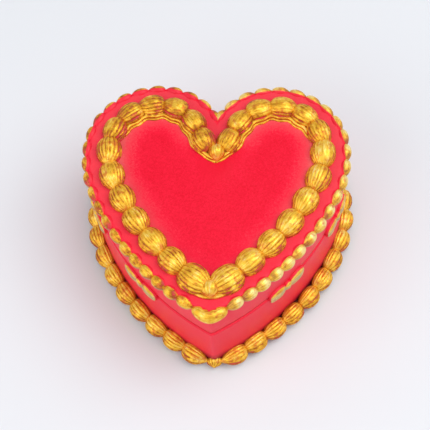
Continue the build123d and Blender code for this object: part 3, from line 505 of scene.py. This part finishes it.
relief = add_node(tree, "Bump", {"Height": fibre, "Strength": 0.7, "Distance": 0.2 * MM}).outputs[0]
add_node(tree, shader, {"Base Color": wool, "Roughness": 0.95, "Normal": relief, "Specular IOR Level": 0.15,
                        "Sheen Weight": 0.5, "Sheen Roughness": 0.4, "Sheen Tint": srgb("#F08088")})

felt_low, felt_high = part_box("compartment_lining")
felt_bottom, felt_top = felt_low.z / MM, felt_high.z / MM
felt_inset = cavity_inset + 0.3
felt_profile = [(felt_inset + 0.35, felt_bottom), (felt_inset, felt_bottom + 0.3), (felt_inset, 35.4)]
felt_profile += [(felt_inset + 0.3, felt_top), (felt_inset + 2, felt_top)]
felt_rings = [heart_ring(inset, height) for inset, height in felt_profile]
felt_middle = np.array([0, -6, 0])
felt_edge = felt_rings[-1] - felt_middle
felt_rings += [felt_edge * (share, share, 1) + felt_middle for share in np.arange(0.94, 0.05, -0.08)]
felt_points, felt_faces = form_of_rings(felt_rings)
ripple = np.sin(felt_points[:, 0] / 7 + 1) * np.sin(felt_points[:, 1] / 9) * 0.06 - 0.06
felt_points[:, 2] += ripple * (felt_points[:, 2] > felt_top - 0.01)
lining = make_piece("felt_lining", [(felt_points, felt_faces)], felt)
cut_line = heart_ring(felt_inset, 0)
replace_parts(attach(lining, "base"), "compartment_lining")


# ------------------------------------------------------------------ movement, bottom plate and key
# A key-wound comb movement screwed to the plate that closes the recess under the box. Its pieces
# keep their own solids, each in the metal or plastic that such a movement is made of.
def grained_metal(name, dark, light, rough, drawn, size, relief_depth):
    """A bare metal whose grain is drawn out along one axis, size across in mm. Real tool marks are
    0.1 mm or finer, and are drawn about ten times as coarse so that they show."""
    finish, tree, shader = new_finish(name)
    where = add_node(tree, "TexCoord").outputs["Object"]
    stretched = add_node(tree, "Mapping", {"Vector": where, "Scale": drawn}).outputs[0]
    grain = add_node(tree, "TexNoise", {"Vector": stretched, "Scale": 1 / (size * MM), "Detail": 4.0,
                                        "Roughness": 0.6}).outputs["Fac"]
    colour = add_node(tree, "ValToRGB", {"Fac": grain}, [(0.3, dark), (0.7, light)]).outputs["Color"]
    gloss = add_node(tree, "MapRange", {"Value": grain, "From Min": 0.3, "From Max": 0.7,
                                        "To Min": rough - 0.08, "To Max": rough + 0.08}).outputs[0]
    relief = add_node(tree, "Bump", {"Height": grain, "Strength": 0.4,
                                     "Distance": relief_depth * MM}).outputs[0]
    add_node(tree, shader, {"Base Color": colour, "Metallic": 1.0, "Roughness": gloss, "Normal": relief})
    return finish


def moulded_plastic(name, dark, light, rough, size, relief_depth):
    """A moulded plastic with the texture of its tool, size across in mm, coarser than real to show."""
    finish, tree, shader = new_finish(name)
    where = add_node(tree, "TexCoord").outputs["Object"]
    grain = add_node(tree, "TexNoise", {"Vector": where, "Scale": 1 / (size * MM),
                                        "Detail": 4.0}).outputs["Fac"]
    colour = add_node(tree, "ValToRGB", {"Fac": grain}, [(0.3, dark), (0.7, light)]).outputs["Color"]
    gloss = add_node(tree, "MapRange", {"Value": grain, "From Min": 0.3, "From Max": 0.7,
                                        "To Min": rough - 0.07, "To Max": rough + 0.07}).outputs[0]
    relief = add_node(tree, "Bump", {"Height": grain, "Strength": 0.4,
                                     "Distance": relief_depth * MM}).outputs[0]
    add_node(tree, shader, {"Base Color": colour, "Roughness": gloss, "Normal": relief,
                            "Specular IOR Level": 0.4})
    return finish


# Die-cast zinc: grey and dull, clouded by the flow of the casting.
zinc = grained_metal("die_cast_zinc", "#8F9194", "#B4B6B9", 0.48, (1, 1, 1), 1.2, 0.08)
# Spring steel ground flat: pale, with grinding lines across the teeth.
spring_steel = grained_metal("ground_spring_steel", "#9A9C9F", "#C6C8CA", 0.3, (6, 0.4, 1), 0.8, 0.03)
# Turned steel: the brightest, with the tool's fine rings.
turned_steel = grained_metal("turned_steel", "#A2A3A6", "#CBCCCE", 0.26, (1, 1, 6), 0.8, 0.02)
# Rolled brass: warm yellow, with faint lines along the roll.
brass = grained_metal("rolled_brass", "#B8923F", "#DDBB66", 0.28, (0.5, 4, 1), 1.0, 0.03)
# Natural nylon: milky and half matt.
nylon = moulded_plastic("natural_nylon", "#D9D5C6", "#EAE7DB", 0.45, 1.5, 0.03)
# Black ABS from a spark-eroded tool: its fine texture breaks up the shine.
black_abs = moulded_plastic("textured_black_abs", "#131315", "#1E1E21", 0.55, 0.35, 0.08)
movement_finishes = {
    zinc: ["bedplate", "spring_housing"],
    spring_steel: ["comb", "mainspring"],
    turned_steel: ["movement_screws", "comb_screws", "governor_bracket", "bracket_screw", "cylinder_shaft",
                   "winding_arbor", "idler_pinion", "governor_worm"],
    brass: ["cylinder", "cylinder_pinion", "cylinder_gear", "crown_wheel", "winding_key"],
    nylon: ["worm_wheel", "governor_fan"],
    black_abs: ["bottom_plate"],
}
for finish, names in movement_finishes.items():
    for name in names:
        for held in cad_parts[name].material_slots:
            held.material = finish


# ------------------------------------------------------------------ screws of the bottom plate
# Four pan-head screws driven up through the plate into the casting's bosses: turned steel heads
# with a rolled edge and a punched cross recess, and a cut thread on the shank.
screw_head, screw_shank, slot_half_width, slot_reach, slot_depth = 2.2, 1.25, 0.34, 1.25, 0.75
thread_pitch, thread_depth, thread_turns = 0.8, 0.22, 9


def cross_screw(x, y, face, under, end, sides=48):
    """Pan-head screw whose face looks down at height face; its shank runs from under the head to end."""
    turn = np.linspace(0, 2 * pi, sides, endpoint=False)
    rings = []
    for r in np.concatenate([np.linspace(0.06, 1.5, 15), np.linspace(1.6, screw_head - 0.35, 3)]):
        px, py = r * np.cos(turn), r * np.sin(turn)
        arms = [
            np.clip((slot_half_width - np.abs(beside)) / 0.1, 0, 1)
            * np.clip((slot_reach - np.abs(down)) / 0.15, 0, 1)
            for beside, down in ((px, py), (py, px))
        ]
        sunk = face + 0.12 * (r / screw_head) ** 2 + slot_depth * np.maximum(*arms)
        rings.append(np.column_stack([x + px, y + py, sunk]))
    outside = [(screw_head - 0.12, face + 0.28), (screw_head, face + 0.6), (screw_head, under)]
    outside += [(screw_shank, under)]
    for k in range(thread_turns):
        outside += [(screw_shank - thread_depth, under + thread_pitch * k + 0.5),
                    (screw_shank, under + thread_pitch * k + 0.8)]
    for r, z in [*outside, (screw_shank - 0.3, end)]:
        rings.append(np.column_stack([x + r * np.cos(turn), y + r * np.sin(turn), np.full(sides, z)]))
    return form_of_rings(rings)


screw_low, screw_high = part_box("bottom_plate_screws")
screw_face, screw_end = screw_low.z / MM, screw_high.z / MM
screw_forms = [cross_screw(x, y, screw_face, recess_depth, screw_end) for x, y in boss_spots]
plate_screws = make_piece("plate_screws", screw_forms, turned_steel, sharp=50)
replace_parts(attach(plate_screws, "base"), "bottom_plate_screws")


# ------------------------------------------------------------------ lid casting
# Upper half of the cake, a hollow casting that lifts off over the neck. Its top is a shallow dish
# inside the piped border, finely grained in the middle and smooth where it meets the piping.
box_height, lid_wall, lid_top, lid_edge = 56.6, 4.0, 4.0, 1.3
# Profile of (inset, height) points: down inside, round the seam's groove, up the wall, over the top.
lid_profile = [(lid_wall, box_height - lid_top), (lid_wall, 43), (lid_wall, lid_bottom), (1.3, lid_bottom)]
lid_profile += [(0.75, lid_bottom + 0.2), (0.55, lid_bottom + 0.7), (0.42, lid_bottom + 1.5)]
lid_profile += [(0.15, lid_bottom + 2.6), (0, lid_bottom + 3.8), (0, 42), (0, 50), (0, 55.3)]
lid_profile += corner_arc(lid_edge, box_height - lid_edge, lid_edge, 180, 90, 7)[1:]
lid_profile += [(inset, box_height) for inset in (2.2, 4, 6.5, 9.7, 12.5, 14.5)]
lid_rings = [heart_ring(inset, height) for inset, height in lid_profile]
dish_middle, dish_edge = np.array([0, -12, 0]), lid_rings[-1]
for share in (0.965, 0.925, 0.88, 0.83, 0.77, 0.7, 0.6, 0.45, 0.3, 0.14):  # in to the middle of the dish
    lid_rings.append((dish_edge - dish_middle) * (share, share, 1) + dish_middle)
lid_points, lid_faces = form_of_rings(lid_rings)
top_line = half_outline(-9.7)
to_piping = np.array([np.hypot(*(top_line - (abs(x), y)).T).min() for x, y, _ in lid_points])
on_top = lid_points[:, 2] > box_height - 0.01
ring_at = np.arange(len(lid_points)) // len(dish_edge)
panel = on_top & (ring_at > len(lid_profile) - 4)
lid_points[:, 2] += panel * np.interp(to_piping, [0, 5, 9, 14], [0.5, 0.45, 0.1, -0.1])
# The red is paler beside the piping, most so in the lobes, and deep in the middle. On the walls the pale
# value of 0.38 is painted sheen, and the deeper red at the seam is painted shade in its groove.
lobeward = np.clip((lid_points[:, 1] + 30) / 45, 0, 1)
from_cleft = np.hypot(lid_points[:, 0], lid_points[:, 1] - 12)
haze = 1 - 0.95 * np.exp(-((from_cleft / 17) ** 4))
haze *= (0.5 + 0.5 * lobeward) * np.interp(to_piping, [0, 5, 8, 14], [0.8, 0.75, 0.42, 0.02])
pales = np.where(panel, haze, np.where(on_top, 0.42 + 0.1 * lobeward, 0.38))
pales -= 0.42 * np.clip((lid_bottom + 2.8 - lid_points[:, 2]) / 1.5, 0, 1)
grains = np.where(panel, np.interp(to_piping, [0, 5, 11], [0.3, 0.3, 1.0]), 0.3)
lid_casting = make_piece("lid_casting", [(lid_points, lid_faces)], red_lacquer, pale=pales, grain=grains)
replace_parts(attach(lid_casting, "lid"), "lid_shell")


# ------------------------------------------------------------------ piped border on the lid
# Plump egg-shaped shells with fine flutes, smoother beside the cleft and largest where they meet at
# the tip; a small knob closes the V at the cleft and one the tip. Two thin lines of the piping run
# inside them round each lobe, and one runs round the tip.
lobe_shells, cleft_shells, flank_shells = 6, 3, 7
lobe_first, lobe_pitch, flank_first, tip_gap = 12.0, 10.4, 74.4, 8.0
flank_pitch = (half_length(top_line) - flank_first - tip_gap) / (flank_shells - 1)
top_stations = [lobe_first + lobe_pitch * k for k in range(lobe_shells)]
top_stations += [flank_first + flank_pitch * k for k in range(flank_shells)]
piping_lift, piping_floor = box_height + 0.9, box_height - 0.3
top_forms = []
for k, station in enumerate(top_stations):
    for mirrored in (False, True):
        place, way = along(top_line, station)
        grown = 1.15 if k == len(top_stations) - 1 else 1.0
        place = place + (grown - 1) * 4 * np.array((-way[1], way[0]))
        length, half_width, worn = (14.8, 5.35, 0.2) if k < lobe_shells else (15.2, 5.6, 0.05)
        crown = (0.6 if mirrored else 0.8) + 0.2 * sin(2.4 * k + 3 * mirrored)
        if k < cleft_shells:
            crown, worn = 0.94, 0.27
        shell = piped_shell(length * grown, half_width * grown, 5.3, piping_lift, piping_floor,
                            flutes=9, depth=0.11, seed=2 * k + mirrored, crown=crown, skirt=0.05,
                            stain=1.0)
        # The left half's shells are a little darker, painted shade on the side away from the key lamp.
        shell = (*shell[:2], shell[2] - worn - 0.08 * mirrored, shell[3])
        top_forms.append(set_down(shell, place, way, mirrored))
for spot, wide, high, seed in (((0.4, 21.2), 3.9, 5.0, 61), ((0, -43.0), 4.4, 4.7, 62)):
    knob = piped_shell(8.0, wide, high, piping_lift, piping_floor, flutes=7, depth=0.07, seed=seed,
                       crown=0.6, widest=0.5)
    top_forms.append(set_down(knob, np.array(spot), np.array([0.0, -1.0])))


def piping_line(path, height, thick, seed, sides=10):
    """A thin line of piping laid along a path of (x, y) points, which is first eased of its corners."""
    for _ in range(12):
        path[1:-1] = path[1:-1] / 2 + (path[:-2] + path[2:]) / 4
    way = np.gradient(path, axis=0)
    way /= np.linalg.norm(way, axis=1, keepdims=True)
    turn = np.linspace(0, 2 * pi, sides + 1)[:-1]
    beside, up = thick * np.cos(turn), thick * np.sin(turn)
    rings = [
        np.column_stack([x + beside * -wy, y + beside * wx, height + up])
        for (x, y), (wx, wy) in zip(path, way)
    ]
    points, faces = form_of_rings(rings)
    run = np.concatenate([[0], np.cumsum(np.hypot(*np.diff(path, axis=0).T))])
    stroke = np.column_stack([np.repeat(run, sides), np.tile(turn, len(path)), np.full(len(points), seed)])
    return points, faces, np.tile(0.46 + 0.42 * np.sin(turn), len(path)), stroke


# The lines swell at each shell, close in past the lobe, and meet in a V under the cleft's knob.
line_run = np.arange(2.0, 68, 0.5)
line_place, line_way = along(top_line, line_run)
into_panel = np.stack([line_way[:, 1], -line_way[:, 0]], axis=1)
beside_shell = np.cos(2 * pi * (np.interp(line_run, top_stations, np.arange(len(top_stations))) + 0.04))
outer_foot, inner_foot = 16.9, 17.9
for reach, foot, height, thick in ((5.35, outer_foot, box_height + 0.35, 0.75),
                                   (4.6, inner_foot, box_height + 1.6, 0.8)):
    spread = reach + 0.55 * beside_shell - 2.0 * np.clip((line_run - 60) / 8, 0, 1)
    spread = np.minimum(spread, 0.42 * line_run + 0.4 - 0.8 * (foot - outer_foot))
    path = np.concatenate([[(0, foot), (0.6, foot)], line_place + into_panel * spread[:, None]])
    line = piping_line(path, height, thick, reach)
    top_forms += [line, (line[0] * (-1, 1, 1), *line[1:])]
tip_line = np.array([(13.0, -39.0), (10.9, -42.2), (7.6, -44.6), (3.9, -46.5), (0.8, -47.1), (0.0, -47.1)])
tip_path = along(tip_line, np.arange(0, half_length(tip_line), 0.5))[0]
line = piping_line(np.concatenate([tip_path, tip_line[-1:]]), box_height + 0.5, 0.75, 3.0)
top_forms += [line, (line[0] * (-1, 1, 1), *line[1:])]
lid_border = gilded_piece("lid_border", top_forms)
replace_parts(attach(lid_border, "lid"), "lid_top_border")


# ------------------------------------------------------------------ beads round the lid's edge
# Smooth teardrops along the upper edge of the wall, head to the back and tail to the tip. The red
# laps over their inner sides and the gold is on the outer; at the tip they run into one crescent.
rim_line = half_outline(0.2)
bead_first, bead_pitch, last_even, close_pitch = 2.6, 7.6, 131.8, 7.0
rim_stations = [bead_first + bead_pitch * k for k in range(18)]
rim_stations += [last_even + close_pitch * k for k in range(1, 6)]
rim_forms = []
for k, station in enumerate(rim_stations):
    for mirrored in (False, True):
        place, way = along(rim_line, station)
        lobeward = np.clip((place[1] + 30) / 50, 0, 1)
        bead = piped_shell(8.8, 2.8 - 0.35 * lobeward, 2.9, lift=box_height - 2.0, floor=box_height - 5.0,
                           flutes=3, depth=0.0, seed=200 + 2 * k + mirrored)
        x, y, z = bead[0].T
        # More of a bead is left red on the left lobe. The right half's beads are brighter and creamier,
        # painted light from the lamp on that side; the left half's are darker, painted shade.
        lap, full, least_reflection = (0.35, 0.75, 0) if mirrored else (0.08, 1.06, 0.14)
        bare = np.clip(0.22 + lap * lobeward - 0.33 * y + 0.012 * x**2, 0, 1)
        # Their lower sides are tinted tan, a painted reflection of the floor.
        painted_reflection = np.clip(0.2 + (box_height - 1.4 - z) / 2.0, least_reflection, 0.85)
        # A painted highlight on the outer side of each right-hand bead's head; the crest falls towards the
        # tail, with browner paint and painted shade where it tucks under the next head.
        lit_side = np.clip((y + 0.2) / 1.6, 0, 1) * np.clip((1.5 - x) / 2.5, 0, 1)
        crest = full + 0.25 * (not mirrored) * lit_side - 0.55 * np.clip((x + 0.5) / 3.5, 0, 1)
        rim_forms.append((*set_down((*bead[:2], crest, bead[3]), place, way, mirrored), bare, painted_reflection))

# The crescent is bent round the tip, eased of its corner, and scalloped along its red inner side.
crescent_reach, crescent_steps, crescent_sides = 8.3, 44, 32
crescent_half_width, crescent_half_height = 2.9, 3.1
reach = np.linspace(-crescent_reach, crescent_reach, crescent_steps)
place = along(rim_line, half_length(rim_line) - np.abs(reach))[0]
place = place * np.column_stack([np.where(reach < 0, 1, -1), np.ones(crescent_steps)]) - (0, 0.5)
for _ in range(25):
    place[1:-1] = place[1:-1] / 2 + (place[:-2] + place[2:]) / 4
way = np.gradient(place, axis=0)
outward = np.column_stack([-way[:, 1], way[:, 0]]) / np.linalg.norm(way, axis=1, keepdims=True)
swell = np.sqrt(np.clip(1 - (reach / crescent_reach) ** 4, 0.02, 1))[:, None]
turn = np.linspace(0, 2 * pi, crescent_sides + 1)[None, :-1]
off, up = crescent_half_width * swell * np.cos(turn), crescent_half_height * swell * np.sin(turn)
flat = place[:, None, :] + outward[:, None, :] * off[:, :, None]
crescent = np.concatenate([flat, (box_height - 2.3 + up)[:, :, None]], axis=2)
crest = np.full(off.size, 0.88)
stroke = np.stack([reach[:, None] + 0 * off, 2.3 * turn + 0 * off, np.full(off.shape, 7.0)], axis=-1)
scallop = 0.3 * np.abs(np.sin(reach * 0.9))[:, None]
bare = np.clip(0.3 - 0.3 * off - scallop, 0, 1)
# Its lower side is tinted tan, a painted reflection of the floor.
painted_reflection = np.clip((-0.8 - up) / 1.6, 0, 0.7)
rim_forms.append((crescent.reshape(-1, 3), form_of_rings(list(crescent))[1], crest,
                  stroke.reshape(-1, 3), bare.ravel(), painted_reflection.ravel()))
rim_beads = gilded_piece("rim_beads", rim_forms)
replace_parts(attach(rim_beads, "lid"), "lid_rim_border")


# ------------------------------------------------------------------ floor and light
# Pale matt paper under the object, one big soft lamp from the right and above, a weaker one from
# the left and in front, and a pale sky. The paper is rough, so it keeps the shadow and no shine.
floor_half, floor_colour = 3, srgb("#E3E6E9")
paper, tree, shader = new_finish("pale_matt_paper")
add_node(tree, shader, {"Base Color": floor_colour, "Roughness": 0.9, "Specular IOR Level": 0.1})
corners = [(-floor_half, -floor_half, 0), (floor_half, -floor_half, 0),
           (floor_half, floor_half, 0), (-floor_half, floor_half, 0)]
paper_mesh = bpy.data.meshes.new("floor")
paper_mesh.from_pydata(corners, [], [(0, 1, 2, 3)])
paper_mesh.materials.append(paper)
floor = bpy.data.objects.new("floor", paper_mesh)
bpy.context.collection.objects.link(floor)

lamps = [("key", (0.4, 0.0, 0.85), 0.7, 4.8), ("fill", (-0.55, -0.45, 0.55), 0.8, 2.7)]
for name, spot, size, power in lamps:
    lamp = bpy.data.lights.new(name, "AREA")
    lamp.size, lamp.energy = size, power
    light = bpy.data.objects.new(name, lamp)
    light.location = spot
    light.rotation_euler = (-Vector(spot)).to_track_quat("-Z", "Y").to_euler()
    bpy.context.collection.objects.link(light)

world = bpy.data.worlds.new("studio")
bpy.context.scene.world = world
world.use_nodes = True
tree = world.node_tree
upness = add_node(tree, "SeparateXYZ", {0: add_node(tree, "TexCoord").outputs["Generated"]}).outputs["Z"]
sky = add_node(tree, "ValToRGB", {"Fac": upness}, [
    (0.0, "#E7E7EA"), (0.45, "#E1E1E5"), (1.0, "#A0A2A6"),
]).outputs["Color"]
add_node(tree, tree.nodes["Background"], {"Color": sky, "Strength": 1.0})
